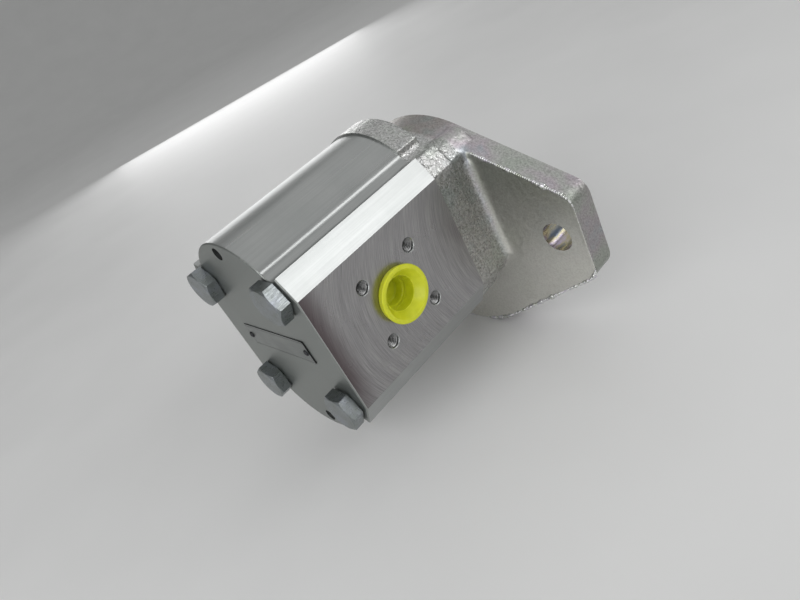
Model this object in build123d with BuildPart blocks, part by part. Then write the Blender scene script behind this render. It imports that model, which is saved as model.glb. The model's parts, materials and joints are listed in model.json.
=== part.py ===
from build123d import *
from math import acos, cos, pi, radians, sin, tan
import os

# Hydraulic external gear pump with a two-bolt mounting flange, a flange-port body and a
# rear cover held by four through bolts.
# Frame: the origin is the centre of the pilot, on the mounting face. +Y runs out along the
# drive shaft, +X out of the suction port, and +Z from the drive gear to the driven gear.
# All lengths are millimetres and all angles are degrees.

# ---- Driving dimensions: gears ----
TEETH = 12
MODULE = 2.75
PRESSURE_ANGLE = 28
BACKLASH = 0.12
FLANK_STEPS = 5
TIP_RADIUS = 19.25
ROOT_RADIUS = 13.05
GEAR_WIDTH = 20.0
JOURNAL_RADIUS = 10.0
SIDE_CLEARANCE = 0.05
JOURNAL_END_GAP = 0.5
CENTRE_DISTANCE = MODULE * TEETH

# ---- Driving dimensions: lengths along the shaft axis ----
PLATE_THICKNESS = 12.5
NECK_LENGTH = 9.7
SHOULDER_LENGTH = 13.0
BODY_LENGTH = 73.0
COVER_THICKNESS = 9.0
PORT_FROM_REAR = 40.7

# ---- Driving dimensions: outline of cover, body and flange shoulder ----
BODY_HALF_WIDTH = 42.2
FLAT_HALF_HEIGHT = 28.4
LOBE_X = 36.3
LOBE_HALF_HEIGHT = 38.7
END_RADIUS = 36.0
END_ARC_HALF_WIDTH = 26.6
GROOVE_X = 30.0
GROOVE_HALF_HEIGHT = 37.4
SHOULDER_INSET = 0.6
SHOULDER_END_RADIUS = 36.9
NECK_INSET = 2.0
BOSS_FOOT_X = 27.0
BOSS_CORNER_RADIUS = 6.0
BOSS_SETBACK = 4.0
COVER_EDGE_FILLET = 0.7

# ---- Driving dimensions: mounting flange ----
FLANGE_HOLE_SPACING = 146.0
FLANGE_HOLE_RADIUS = 7.15
FLANGE_DISC_RADIUS = 59.0
EAR_TIP_X = 87.0
EAR_TIP_HALF_HEIGHT = 23.6
EAR_CORNER_RADIUS = 9.0
EAR_ROOT_RADIUS = 5.0
EAR_COVE_BOTTOM = -11.5
EAR_COVE_TOP = 40.0
PILOT_RADIUS = 50.8
PILOT_LENGTH = 9.7
PILOT_CHAMFER = 1.0
SHAFT_BORE_RADIUS = 11.5

# ---- Driving dimensions: drive shaft end and its key ----
DRIVE_END_RADIUS = 9.525
DRIVE_END_LENGTH = 41.0
DRIVE_END_STRAIGHT = 31.75
DRIVE_END_CHAMFER = 1.5
KEY_WIDTH = 4.76
KEY_LENGTH = 22.0
KEY_FROM_END = 4.0

# ---- Driving dimensions: bolts, dowels, nameplate ----
BOLT_X = 29.5
BOLT_HALF_HEIGHT = 29.2
BOLT_RADIUS = 5.0
BOLT_HOLE_RADIUS = 5.25
BOLT_LENGTH = 98.0
BOLT_HEAD_ACROSS_FLATS = 17.0
BOLT_HEAD_HEIGHT = 5.8
BOLT_HEAD_FACE_RADIUS = 8.25
BOLT_HEAD_CHAMFER_ANGLE = 60
BOLT_WASHER_FACE_RADIUS = 7.8
BOLT_WASHER_FACE_HEIGHT = 0.6
BOLT_THREAD_RADIUS = 4.98
BOLT_THREAD_DEPTH = 20.0
BOLT_TURNS = {(-1, 1): 41, (1, 1): 2, (-1, -1): 24, (1, -1): 3}
DOWEL_HALF_SPACING = 47.2
DOWEL_RADIUS = 3.0
DOWEL_LENGTH = 12.0
DOWEL_RECESS = 2.5
DOWEL_END_GAP = 0.5
SNUG = 0.01
PLATE_CENTRE_X = -1.0
PLATE_CENTRE_BELOW = 0.9
PLATE_LENGTH = 51.0
PLATE_HEIGHT = 12.4
PLATE_DEPTH = 0.5
PLATE_CORNER_RADIUS = 0.8
RIVET_HALF_SPACING = 23.3
RIVET_RADIUS = 1.5
RIVET_DOME = 0.7
RIVET_CHAMFER = 0.42

# ---- Driving dimensions: ports and their transit plugs ----
SUCTION_PORT_RADIUS = 10.0
SUCTION_BOLT_CIRCLE = 40.0
PRESSURE_PORT_RADIUS = 7.5
PRESSURE_BOLT_CIRCLE = 35.0
PORT_SCREW_RADIUS = 3.0
PORT_SCREW_DEPTH = 13.0
PORT_SCREW_COUNTERSINK = 0.35
SUCTION_CUP_RADIUS = 12.6
PRESSURE_CUP_RADIUS = 10.2
PLUG_CLEARANCE = 0.1
PLUG_LIP_HEIGHT = 3.5
PLUG_LIP_CHAMFER = 0.6
PLUG_FLARE = 0.7
PLUG_LEAD_IN = 1.2
PLUG_DEPTH = 12.0
PLUG_WALL = 2.2
PLUG_FLOOR = 1.2
PLUG_STEP = 1.5
PLUG_STEP_DEPTH = 6.0
PLUG_CONE_DEPTH = 0.6
PLUG_DRAFT = 0.2

# ---- Driving dimensions: bearing blocks, bushes and seals ----
BORE_CLEARANCE = 0.05
BLOCK_SIDE_CLEARANCE = 0.04
BUSH_WALL = 1.5
BUSH_CLEARANCE = 0.03
BODY_SEAL_LAND = 2.4
BODY_SEAL_WIDTH = 2.2
BODY_SEAL_DEPTH = 1.6
PRESSURE_SEAL_INNER = 15.2
PRESSURE_SEAL_OUTER = 17.0
BACKUP_RING_OUTER = 18.0
PRESSURE_SEAL_DEPTH = 1.5
PRESSURE_SIDE_LIMIT = 4.0
SHAFT_SEAL_RADIUS = 17.5
SHAFT_SEAL_WIDTH = 7.0
SHAFT_SEAL_BACK = -2.0
SEAL_CASE_WALL = 1.2
SEAL_LIP_CLEARANCE = 0.03
SEAL_CASE_EYE = 2.5
SEAL_LIP_BEVEL = 0.8
SEAL_LIP_THICKNESS = 3.0
SEAL_LIP_ROOT = 3.4
SEAL_LIP_BACK_GAP = 0.6
SEAL_LIP_EDGE = 2.0
SEAL_WEB_WIDTH = 2.6
GARTER_SPRING_RADIUS = 0.7
GARTER_SPRING_HEIGHT = 1.9
RETAINING_RING_THICKNESS = 1.5
RETAINING_RING_DEPTH = 1.2
RETAINING_RING_WIDTH = 2.4
RETAINING_RING_GAP = 60
RETAINING_RING_PLAY = 0.05

# ---- Stations along the shaft axis, from the mounting face back to the cover ----
PLATE_BACK = -PLATE_THICKNESS
NECK_BACK = PLATE_BACK - NECK_LENGTH
BODY_FRONT = NECK_BACK - SHOULDER_LENGTH
BODY_BACK = BODY_FRONT - BODY_LENGTH
COVER_BACK = BODY_BACK - COVER_THICKNESS
PORT_Y = COVER_BACK + PORT_FROM_REAR
GEAR_FRONT = PORT_Y + GEAR_WIDTH / 2
GEAR_BACK = PORT_Y - GEAR_WIDTH / 2
JOURNAL_BACK = BODY_BACK + JOURNAL_END_GAP
JOURNAL_FRONT = BODY_FRONT - JOURNAL_END_GAP
DRIVE_END_BACK = DRIVE_END_LENGTH - DRIVE_END_STRAIGHT
KEY_CENTRE_Y = DRIVE_END_LENGTH - KEY_FROM_END - KEY_LENGTH / 2
SEAL_BACK = SHAFT_SEAL_BACK
SEAL_FRONT = SEAL_BACK + SHAFT_SEAL_WIDTH
RING_FRONT = SEAL_FRONT + RETAINING_RING_THICKNESS

# ---- Heights, radii and centres worked out from the dimensions above ----
BODY_CENTRE_Z = CENTRE_DISTANCE / 2
PLATE_CENTRE_Z = BODY_CENTRE_Z - PLATE_CENTRE_BELOW
BORE_RADIUS = TIP_RADIUS + BORE_CLEARANCE
BLOCK_RADIUS = BORE_RADIUS - BLOCK_SIDE_CLEARANCE
BUSH_OUTER_RADIUS = JOURNAL_RADIUS + BUSH_CLEARANCE + BUSH_WALL
CASE_INNER_RADIUS = SHAFT_SEAL_RADIUS - SEAL_CASE_WALL
CASE_EYE_RADIUS = JOURNAL_RADIUS + SEAL_CASE_EYE
LIP_RADIUS = JOURNAL_RADIUS + SEAL_LIP_CLEARANCE
RING_OUTER_RADIUS = SHAFT_SEAL_RADIUS + RETAINING_RING_DEPTH - RETAINING_RING_PLAY
FRONT_DOWEL_DEPTH = DOWEL_LENGTH / 2 + DOWEL_END_GAP
REAR_DOWEL_DEPTH = DOWEL_LENGTH + DOWEL_RECESS - COVER_THICKNESS

GEAR_CENTRES = [(0, 0), (0, CENTRE_DISTANCE)]
BOLT_CENTRES = [(sx * BOLT_X, BODY_CENTRE_Z + sz * BOLT_HALF_HEIGHT) for sx, sz in BOLT_TURNS]
DOWEL_CENTRES = [(0, BODY_CENTRE_Z + side * DOWEL_HALF_SPACING) for side in (-1, 1)]
EAR_HOLES = [(side * FLANGE_HOLE_SPACING / 2, 0) for side in (-1, 1)]
RIVET_CENTRES = [(PLATE_CENTRE_X + side * RIVET_HALF_SPACING, PLATE_CENTRE_Z) for side in (-1, 1)]
GARTER_SPRING_CENTRE = (JOURNAL_RADIUS + GARTER_SPRING_HEIGHT, SEAL_BACK + SEAL_LIP_EDGE)


def station(y, z=0.0):
    """Plane across the shaft axis at y. Its x is +X, its y is +Z, and it faces rearwards."""
    return Plane(origin=(0, y, z), x_dir=(1, 0, 0), z_dir=(0, -1, 0))


def block_outline(y, end_radius, inset=0.0):
    """Outline of cover, body and shoulder: round ends, four corner lobes and two port flats."""
    lobe = (LOBE_X - inset, LOBE_HALF_HEIGHT - inset)
    groove = (GROOVE_X, GROOVE_HALF_HEIGHT - inset)
    flat_top = (BODY_HALF_WIDTH - inset, FLAT_HALF_HEIGHT)
    end_top = (0, BODY_CENTRE_Z + end_radius)
    arc_end = (END_ARC_HALF_WIDTH, BODY_CENTRE_Z + (end_radius**2 - END_ARC_HALF_WIDTH**2) ** 0.5)
    with BuildSketch(station(y, BODY_CENTRE_Z)) as outline:
        with BuildLine():
            Polyline((0, 0), (flat_top[0], 0), flat_top, lobe)
            ThreePointArc(lobe, groove, arc_end)
            RadiusArc(arc_end, end_top, -end_radius)
            Line(end_top, (0, 0))
        make_face()
        mirror(about=Plane.YZ)
        mirror(about=Plane.XZ)
    return outline.sketch


def circles(y, centres, radius, hole_radius=0.0):
    """Equal discs, or rings where hole_radius is given, merged where they overlap."""
    with BuildSketch(station(y)) as discs:
        with Locations(*centres):
            Circle(radius)
        if hole_radius:
            with Locations(*centres):
                Circle(hole_radius, mode=Mode.SUBTRACT)
    return discs.sketch


def pressure_side_band(y, inner_radius, outer_radius):
    """Band round both gear axes on the pressure side only, shaped like a figure three."""
    reach = 2 * BODY_HALF_WIDTH
    with BuildSketch(station(y)) as band:
        with Locations(*GEAR_CENTRES):
            Circle(outer_radius)
        with Locations(*GEAR_CENTRES):
            Circle(inner_radius, mode=Mode.SUBTRACT)
        with Locations((PRESSURE_SIDE_LIMIT + reach / 2, BODY_CENTRE_Z)):
            Rectangle(reach, 2 * reach, mode=Mode.SUBTRACT)
    return band.sketch


# ---- Rear cover: a plate with bolt holes and two dowel holes ----
with BuildPart() as rear_cover:
    extrude(block_outline(BODY_BACK, END_RADIUS), amount=COVER_THICKNESS)
    rear_face = rear_cover.faces().sort_by(Axis.Y)[0]
    fillet(rear_face.outer_wire().edges(), COVER_EDGE_FILLET)
    bolt_holes = circles(BODY_BACK, BOLT_CENTRES, BOLT_HOLE_RADIUS)
    extrude(bolt_holes, amount=COVER_THICKNESS, mode=Mode.SUBTRACT)
    dowel_holes = circles(BODY_BACK, DOWEL_CENTRES, DOWEL_RADIUS)
    extrude(dowel_holes, amount=COVER_THICKNESS, mode=Mode.SUBTRACT)


# ---- Pump body: figure-of-eight gear bore, port flats on both sides, seal grooves ----
def port_plane(side):
    """Plane on a port face, facing outwards: side is 1 for suction and -1 for pressure."""
    origin = (side * BODY_HALF_WIDTH, PORT_Y, BODY_CENTRE_Z)
    return Plane(origin=origin, x_dir=(0, 1, 0), z_dir=(side, 0, 0))


def port_screw_holes(side, bolt_circle):
    """Four screw holes round a port, at 45 degrees to the shaft axis."""
    with BuildSketch(port_plane(side)) as holes:
        with PolarLocations(bolt_circle / 2, 4, start_angle=45):
            Circle(PORT_SCREW_RADIUS)
    return holes.sketch


def seal_groove(y):
    """Figure-of-eight groove outline for the seal between the body and an end casting."""
    inner = BORE_RADIUS + BODY_SEAL_LAND
    return circles(y, GEAR_CENTRES, inner + BODY_SEAL_WIDTH, inner)


with BuildPart() as pump_body:
    extrude(block_outline(BODY_FRONT, END_RADIUS), amount=BODY_LENGTH)
    for centres, radius in ((GEAR_CENTRES, BORE_RADIUS), (BOLT_CENTRES, BOLT_HOLE_RADIUS)):
        extrude(circles(BODY_FRONT, centres, radius), amount=BODY_LENGTH, mode=Mode.SUBTRACT)
    for joint_y, inward, dowel_depth in (
        (BODY_FRONT, 1, FRONT_DOWEL_DEPTH),
        (BODY_BACK, -1, REAR_DOWEL_DEPTH),
    ):
        dowel_holes = circles(joint_y, DOWEL_CENTRES, DOWEL_RADIUS)
        extrude(dowel_holes, amount=inward * dowel_depth, mode=Mode.SUBTRACT)
        extrude(seal_groove(joint_y), amount=inward * BODY_SEAL_DEPTH, mode=Mode.SUBTRACT)
    for side, port_radius, bolt_circle in (
        (1, SUCTION_PORT_RADIUS, SUCTION_BOLT_CIRCLE),
        (-1, PRESSURE_PORT_RADIUS, PRESSURE_BOLT_CIRCLE),
    ):
        with BuildSketch(port_plane(side)):
            Circle(port_radius)
        extrude(amount=-BODY_HALF_WIDTH, mode=Mode.SUBTRACT)
        extrude(port_screw_holes(side, bolt_circle), amount=-PORT_SCREW_DEPTH, mode=Mode.SUBTRACT)
        port_face = pump_body.faces().sort_by(Axis.X)[-1 if side > 0 else 0]
        screw_mouths = port_face.inner_wires().edges().filter_by(
            lambda edge: abs(edge.radius - PORT_SCREW_RADIUS) < 0.01
        )
        chamfer(screw_mouths, PORT_SCREW_COUNTERSINK)


# ---- Front flange: shoulder on the body, neck, two-bolt plate and pilot ----
def flange_outline():
    """Disc round the shaft axis with two straight-sided ears."""
    with BuildSketch(station(0)) as outline:
        Circle(FLANGE_DISC_RADIUS)
        corner_x = EAR_TIP_X - EAR_CORNER_RADIUS
        corner_z = EAR_TIP_HALF_HEIGHT - EAR_CORNER_RADIUS
        with GridLocations(2 * corner_x, 2 * corner_z, 2, 2):
            Circle(EAR_CORNER_RADIUS)
        make_hull()
        with Locations(*EAR_HOLES):
            Circle(FLANGE_HOLE_RADIUS, mode=Mode.SUBTRACT)
    return outline.sketch


def above_disc():
    """The space above the flange disc, over the whole width of the neck."""
    with BuildSketch(station(PLATE_BACK)) as space:
        with Locations((0, FLANGE_DISC_RADIUS)):
            Rectangle(2 * BODY_HALF_WIDTH, 2 * FLANGE_DISC_RADIUS)
        Circle(FLANGE_DISC_RADIUS, mode=Mode.SUBTRACT)
    return space.sketch


def bolt_bosses(y):
    """Outline of the two upper corners of the neck, which stand out of the disc round the bolts."""
    foot = (BOSS_FOOT_X, (FLANGE_DISC_RADIUS**2 - BOSS_FOOT_X**2) ** 0.5)
    crest = (LOBE_X - NECK_INSET, BODY_CENTRE_Z + LOBE_HALF_HEIGHT - NECK_INSET)
    flat_top = (BODY_HALF_WIDTH - NECK_INSET, BODY_CENTRE_Z + FLAT_HALF_HEIGHT)
    with BuildSketch(station(y)) as bosses:
        with BuildLine():
            Polyline((0, 0), (flat_top[0], 0), flat_top, crest, foot, (0, 0))
        make_face()
        fillet(bosses.vertices().sort_by_distance(crest)[0], BOSS_CORNER_RADIUS)
        mirror(about=Plane.YZ)
    return bosses.sketch


def ear_cove(side):
    """Concave quarter-round that joins the neck's side to the back of an ear."""
    radius = EAR_ROOT_RADIUS
    middle = radius * (1 - cos(pi / 4))
    corner = (side * (BODY_HALF_WIDTH - NECK_INSET), PLATE_BACK, EAR_COVE_BOTTOM)
    with BuildSketch(Plane(origin=corner, x_dir=(side, 0, 0), z_dir=(0, 0, 1))) as cove:
        with BuildLine():
            Polyline((0, -side * radius), (0, 0), (radius, 0))
            ThreePointArc((radius, 0), (middle, -side * middle), (0, -side * radius))
        make_face()
    return cove.sketch


with BuildPart() as front_flange:
    extrude(block_outline(NECK_BACK, SHOULDER_END_RADIUS, SHOULDER_INSET), amount=SHOULDER_LENGTH)
    extrude(block_outline(PLATE_BACK, END_RADIUS, NECK_INSET), amount=NECK_LENGTH)
    extrude(above_disc(), amount=NECK_LENGTH, mode=Mode.SUBTRACT)
    extrude(flange_outline(), amount=PLATE_THICKNESS)
    extrude(bolt_bosses(-BOSS_SETBACK), amount=-NECK_BACK - BOSS_SETBACK)
    for side in (-1, 1):
        extrude(ear_cove(side), amount=EAR_COVE_TOP - EAR_COVE_BOTTOM)
    with BuildSketch(station(PILOT_LENGTH)):
        Circle(PILOT_RADIUS)
    extrude(amount=PILOT_LENGTH)
    pilot_rim = front_flange.faces().sort_by(Axis.Y)[-1].outer_wire().edges()
    chamfer(pilot_rim, PILOT_CHAMFER)
    for front_y, radius, depth in (
        (PILOT_LENGTH, SHAFT_BORE_RADIUS, PILOT_LENGTH - BODY_FRONT),
        (PILOT_LENGTH, SHAFT_SEAL_RADIUS, PILOT_LENGTH - SEAL_BACK),
        (RING_FRONT, SHAFT_SEAL_RADIUS + RETAINING_RING_DEPTH, RETAINING_RING_THICKNESS),
    ):
        extrude(circles(front_y, [(0, 0)], radius), amount=depth, mode=Mode.SUBTRACT)
    bolt_threads = circles(BODY_FRONT, BOLT_CENTRES, BOLT_RADIUS)
    extrude(bolt_threads, amount=-BOLT_THREAD_DEPTH, mode=Mode.SUBTRACT)
    dowel_holes = circles(BODY_FRONT, DOWEL_CENTRES, DOWEL_RADIUS)
    extrude(dowel_holes, amount=-FRONT_DOWEL_DEPTH, mode=Mode.SUBTRACT)


# ---- Gear shafts: involute spur gears in one piece with their journals ----
def half_tooth_angle(radius):
    """Half of a tooth's angular thickness, in radians, at a radius of the involute flank."""
    pitch_radius = MODULE * TEETH / 2
    base_radius = pitch_radius * cos(radians(PRESSURE_ANGLE))
    pitch_half = (pi * MODULE / 2 - BACKLASH) / (2 * pitch_radius)
    angle = acos(min(1.0, base_radius / radius))
    pitch_angle = radians(PRESSURE_ANGLE)
    return pitch_half + (tan(pitch_angle) - pitch_angle) - (tan(angle) - angle)


def flank_points(side):
    """Points up one flank of a tooth that points along x, from the base circle to the tip."""
    base_radius = MODULE * TEETH / 2 * cos(radians(PRESSURE_ANGLE))
    points = []
    for step in range(FLANK_STEPS + 1):
        radius = base_radius + (TIP_RADIUS - base_radius) * step / FLANK_STEPS
        angle = side * half_tooth_angle(radius)
        points.append((radius * cos(angle), radius * sin(angle)))
    return points


def gear_outline(y, centre_z, turn):
    """Gear section on a station, with one tooth at the angle turn from +X."""
    left, right = flank_points(1), flank_points(-1)
    inside_root = ROOT_RADIUS - MODULE / 4
    foot_angle = half_tooth_angle(inside_root)
    foot = [(inside_root * cos(a), inside_root * sin(a)) for a in (foot_angle, -foot_angle)]
    with BuildSketch() as tooth:
        with BuildLine():
            Spline(*left)
            Spline(*right)
            ThreePointArc(left[-1], (TIP_RADIUS, 0), right[-1])
            Polyline(left[0], *foot, right[0])
        make_face()
    with BuildSketch(station(y, centre_z)) as gear:
        Circle(ROOT_RADIUS)
        with PolarLocations(0, TEETH, start_angle=turn):
            add(tooth.sketch)
    return gear.sketch


def journal_blank(z, back, front, turn):
    """Gear with a journal on each side, running from back to front along the gear axis."""
    with BuildPart() as blank:
        gear_half_width = GEAR_WIDTH / 2 - SIDE_CLEARANCE
        extrude(gear_outline(PORT_Y + gear_half_width, z, turn), amount=2 * gear_half_width)
        extrude(circles(front, [(0, z)], JOURNAL_RADIUS), amount=front - back)
    return blank.part


def key_outline(z, clearance=0.0):
    """Round-ended key outline on a level plane at height z, lying along the shaft."""
    with BuildSketch(Plane(origin=(0, KEY_CENTRE_Y, z), x_dir=(0, 1, 0), z_dir=(0, 0, 1))) as slot:
        SlotOverall(KEY_LENGTH + 2 * clearance, KEY_WIDTH + 2 * clearance)
    return slot.sketch


with BuildPart() as drive_gear_shaft:
    add(journal_blank(0, JOURNAL_BACK, DRIVE_END_BACK, 0))
    extrude(circles(DRIVE_END_LENGTH, [(0, 0)], DRIVE_END_RADIUS), amount=DRIVE_END_STRAIGHT)
    chamfer(drive_gear_shaft.faces().sort_by(Axis.Y)[-1].edges(), DRIVE_END_CHAMFER)
    keyway = key_outline(DRIVE_END_RADIUS - KEY_WIDTH / 2, SNUG)
    extrude(keyway, amount=KEY_WIDTH, mode=Mode.SUBTRACT)

with BuildPart() as shaft_key:
    extrude(key_outline(DRIVE_END_RADIUS - KEY_WIDTH / 2), amount=KEY_WIDTH)

with BuildPart() as driven_gear_shaft:
    add(journal_blank(CENTRE_DISTANCE, JOURNAL_BACK, JOURNAL_FRONT, 180 / TEETH))


# ---- Bearing blocks, each with two bushes, a figure-three pressure seal and its backup ----
def bearing_block(front, back, seal_y):
    """Figure-of-eight block from front to back, with its seal groove on the face at seal_y."""
    outward = 1 if seal_y == front else -1
    with BuildPart() as block:
        extrude(circles(front, GEAR_CENTRES, BLOCK_RADIUS), amount=front - back)
        bush_bores = circles(front, GEAR_CENTRES, BUSH_OUTER_RADIUS + SNUG)
        extrude(bush_bores, amount=front - back, mode=Mode.SUBTRACT)
        groove = pressure_side_band(seal_y, PRESSURE_SEAL_INNER, BACKUP_RING_OUTER)
        extrude(groove, amount=outward * PRESSURE_SEAL_DEPTH, mode=Mode.SUBTRACT)
    return block.part


def bushes(front, back):
    """The two plain bushes of one bearing block."""
    rings = circles(front, GEAR_CENTRES, BUSH_OUTER_RADIUS, JOURNAL_RADIUS + BUSH_CLEARANCE)
    with BuildPart() as pair:
        extrude(rings, amount=front - back)
    return pair.part


def pressure_band(seal_y, outward, inner_radius, outer_radius):
    """A band lying in a bearing block's groove."""
    outline = pressure_side_band(seal_y, inner_radius, outer_radius)
    with BuildPart() as band:
        extrude(outline, amount=outward * PRESSURE_SEAL_DEPTH)
    return band.part


with BuildPart() as rear_bearing_block:
    add(bearing_block(GEAR_BACK, BODY_BACK, BODY_BACK))
with BuildPart() as front_bearing_block:
    add(bearing_block(BODY_FRONT, GEAR_FRONT, BODY_FRONT))
with BuildPart() as rear_bearing_bushes:
    add(bushes(GEAR_BACK, BODY_BACK))
with BuildPart() as front_bearing_bushes:
    add(bushes(BODY_FRONT, GEAR_FRONT))
with BuildPart() as rear_pressure_seal:
    add(pressure_band(BODY_BACK, -1, PRESSURE_SEAL_INNER, PRESSURE_SEAL_OUTER))
with BuildPart() as front_pressure_seal:
    add(pressure_band(BODY_FRONT, 1, PRESSURE_SEAL_INNER, PRESSURE_SEAL_OUTER))
with BuildPart() as rear_backup_ring:
    add(pressure_band(BODY_BACK, -1, PRESSURE_SEAL_OUTER, BACKUP_RING_OUTER))
with BuildPart() as front_backup_ring:
    add(pressure_band(BODY_FRONT, 1, PRESSURE_SEAL_OUTER, BACKUP_RING_OUTER))


# ---- Seals between the body and its end castings ----
with BuildPart() as rear_body_seal:
    extrude(seal_groove(BODY_BACK), amount=-BODY_SEAL_DEPTH)
with BuildPart() as front_body_seal:
    extrude(seal_groove(BODY_FRONT), amount=BODY_SEAL_DEPTH)


# ---- Shaft seal: steel case, rubber lip with its garter spring, and the retaining ring ----
with BuildPart() as shaft_seal_case:
    with BuildSketch(Plane.XY):
        with BuildLine():
            Polyline(
                (SHAFT_SEAL_RADIUS - SNUG, SEAL_BACK),
                (SHAFT_SEAL_RADIUS - SNUG, SEAL_FRONT),
                (CASE_EYE_RADIUS, SEAL_FRONT),
                (CASE_EYE_RADIUS, SEAL_FRONT - SEAL_CASE_WALL),
                (CASE_INNER_RADIUS, SEAL_FRONT - SEAL_CASE_WALL),
                (CASE_INNER_RADIUS, SEAL_BACK),
                close=True,
            )
        make_face()
    revolve(axis=Axis.Y)

with BuildPart() as shaft_seal_lip:
    with BuildSketch(Plane.XY):
        with BuildLine():
            Polyline(
                (CASE_INNER_RADIUS, SEAL_FRONT - SEAL_CASE_WALL),
                (CASE_EYE_RADIUS, SEAL_FRONT - SEAL_CASE_WALL),
                (LIP_RADIUS, SEAL_BACK + SEAL_LIP_EDGE),
                (LIP_RADIUS + SEAL_LIP_BEVEL, SEAL_BACK + SEAL_LIP_BACK_GAP),
                (LIP_RADIUS + SEAL_LIP_THICKNESS, SEAL_BACK + SEAL_LIP_BACK_GAP),
                (LIP_RADIUS + SEAL_LIP_ROOT, SEAL_FRONT - SEAL_WEB_WIDTH),
                (CASE_INNER_RADIUS, SEAL_FRONT - SEAL_WEB_WIDTH),
                close=True,
            )
        make_face()
        with Locations(GARTER_SPRING_CENTRE):
            Circle(GARTER_SPRING_RADIUS, mode=Mode.SUBTRACT)
    revolve(axis=Axis.Y)

with BuildPart() as shaft_seal_spring:
    with BuildSketch(Plane.XY):
        with Locations(GARTER_SPRING_CENTRE):
            Circle(GARTER_SPRING_RADIUS - SNUG)
    revolve(axis=Axis.Y)

with BuildPart() as seal_retaining_ring:
    reach = 2 * RING_OUTER_RADIUS
    gap_half_width = reach * tan(radians(RETAINING_RING_GAP / 2))
    with BuildSketch(station(RING_FRONT)):
        Circle(RING_OUTER_RADIUS)
        Circle(RING_OUTER_RADIUS - RETAINING_RING_WIDTH, mode=Mode.SUBTRACT)
        with BuildLine():
            Polyline((0, 0), (gap_half_width, -reach), (-gap_half_width, -reach), close=True)
        make_face(mode=Mode.SUBTRACT)
    extrude(amount=RETAINING_RING_THICKNESS)


# ---- Fasteners ----
with BuildPart() as bolt:
    with BuildSketch(station(0)):
        Circle(BOLT_WASHER_FACE_RADIUS)
    extrude(amount=BOLT_WASHER_FACE_HEIGHT)
    with BuildSketch(station(-BOLT_WASHER_FACE_HEIGHT)):
        RegularPolygon(BOLT_HEAD_ACROSS_FLATS / 2, 6, major_radius=False)
    extrude(amount=BOLT_HEAD_HEIGHT)
    with BuildSketch(station(-BOLT_WASHER_FACE_HEIGHT - BOLT_HEAD_HEIGHT)):
        Circle(BOLT_HEAD_FACE_RADIUS)
    extrude(
        amount=-BOLT_HEAD_HEIGHT - BOLT_WASHER_FACE_HEIGHT,
        taper=-BOLT_HEAD_CHAMFER_ANGLE,
        mode=Mode.INTERSECT,
    )
    with BuildSketch(station(BOLT_LENGTH)):
        Circle(BOLT_THREAD_RADIUS)
    extrude(amount=BOLT_LENGTH)

with BuildPart() as cover_bolts:
    for (side_x, side_z), turn in BOLT_TURNS.items():
        place = (side_x * BOLT_X, COVER_BACK, BODY_CENTRE_Z + side_z * BOLT_HALF_HEIGHT)
        with Locations(Location(place, (0, turn, 0))):
            add(bolt.part)

with BuildPart() as rear_dowel_pins:
    rear_pins_front = COVER_BACK + DOWEL_RECESS + DOWEL_LENGTH
    extrude(circles(rear_pins_front, DOWEL_CENTRES, DOWEL_RADIUS - SNUG), amount=DOWEL_LENGTH)

with BuildPart() as front_dowel_pins:
    front_pins_front = BODY_FRONT + DOWEL_LENGTH / 2
    extrude(circles(front_pins_front, DOWEL_CENTRES, DOWEL_RADIUS - SNUG), amount=DOWEL_LENGTH)


# ---- Blank nameplate on the rear cover, with a rivet near each end ----
with BuildPart() as nameplate:
    with BuildSketch(station(COVER_BACK)):
        with Locations((PLATE_CENTRE_X, PLATE_CENTRE_Z)):
            RectangleRounded(PLATE_LENGTH, PLATE_HEIGHT, PLATE_CORNER_RADIUS)
    extrude(amount=PLATE_DEPTH)

with BuildPart() as nameplate_rivets:
    extrude(circles(COVER_BACK - PLATE_DEPTH, RIVET_CENTRES, RIVET_RADIUS), amount=RIVET_DOME)
    chamfer(nameplate_rivets.edges().group_by(Axis.Y)[0], RIVET_CHAMFER)


# ---- Transit plugs: plastic cups pushed into the ports ----
def port_plug(side, port_radius, cup_radius):
    """Stepped cup: a barrel inside the port, and a wider cup standing on the port face."""
    barrel = port_radius - PLUG_CLEARANCE
    bore = barrel - PLUG_WALL
    mouth = cup_radius - PLUG_WALL
    lip = PLUG_LIP_HEIGHT
    bottom = PLUG_FLOOR - PLUG_DEPTH
    origin = (side * BODY_HALF_WIDTH, PORT_Y, BODY_CENTRE_Z)
    outline = [
        (0, -PLUG_DEPTH),
        (barrel - PLUG_LEAD_IN, -PLUG_DEPTH),
        (barrel, PLUG_LEAD_IN - PLUG_DEPTH),
        (barrel, 0),
        (cup_radius - PLUG_FLARE, 0),
        (cup_radius, lip - PLUG_LIP_CHAMFER),
        (cup_radius - PLUG_LIP_CHAMFER, lip),
        (mouth, lip),
        (bore, -PLUG_CONE_DEPTH),
        (bore - PLUG_DRAFT, -PLUG_STEP_DEPTH),
        (bore - PLUG_STEP, -PLUG_STEP_DEPTH),
        (bore - PLUG_STEP - PLUG_DRAFT, bottom),
        (0, bottom),
    ]
    with BuildPart() as plug:
        with BuildSketch(Plane(origin=origin, x_dir=(0, 1, 0), z_dir=(0, 0, -side))):
            with BuildLine():
                Polyline(*outline, close=True)
            make_face()
        revolve(axis=Axis(origin, (side, 0, 0)))
    return plug.part


with BuildPart() as suction_port_plug:
    add(port_plug(1, SUCTION_PORT_RADIUS, SUCTION_CUP_RADIUS))
with BuildPart() as pressure_port_plug:
    add(port_plug(-1, PRESSURE_PORT_RADIUS, PRESSURE_CUP_RADIUS))


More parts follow.
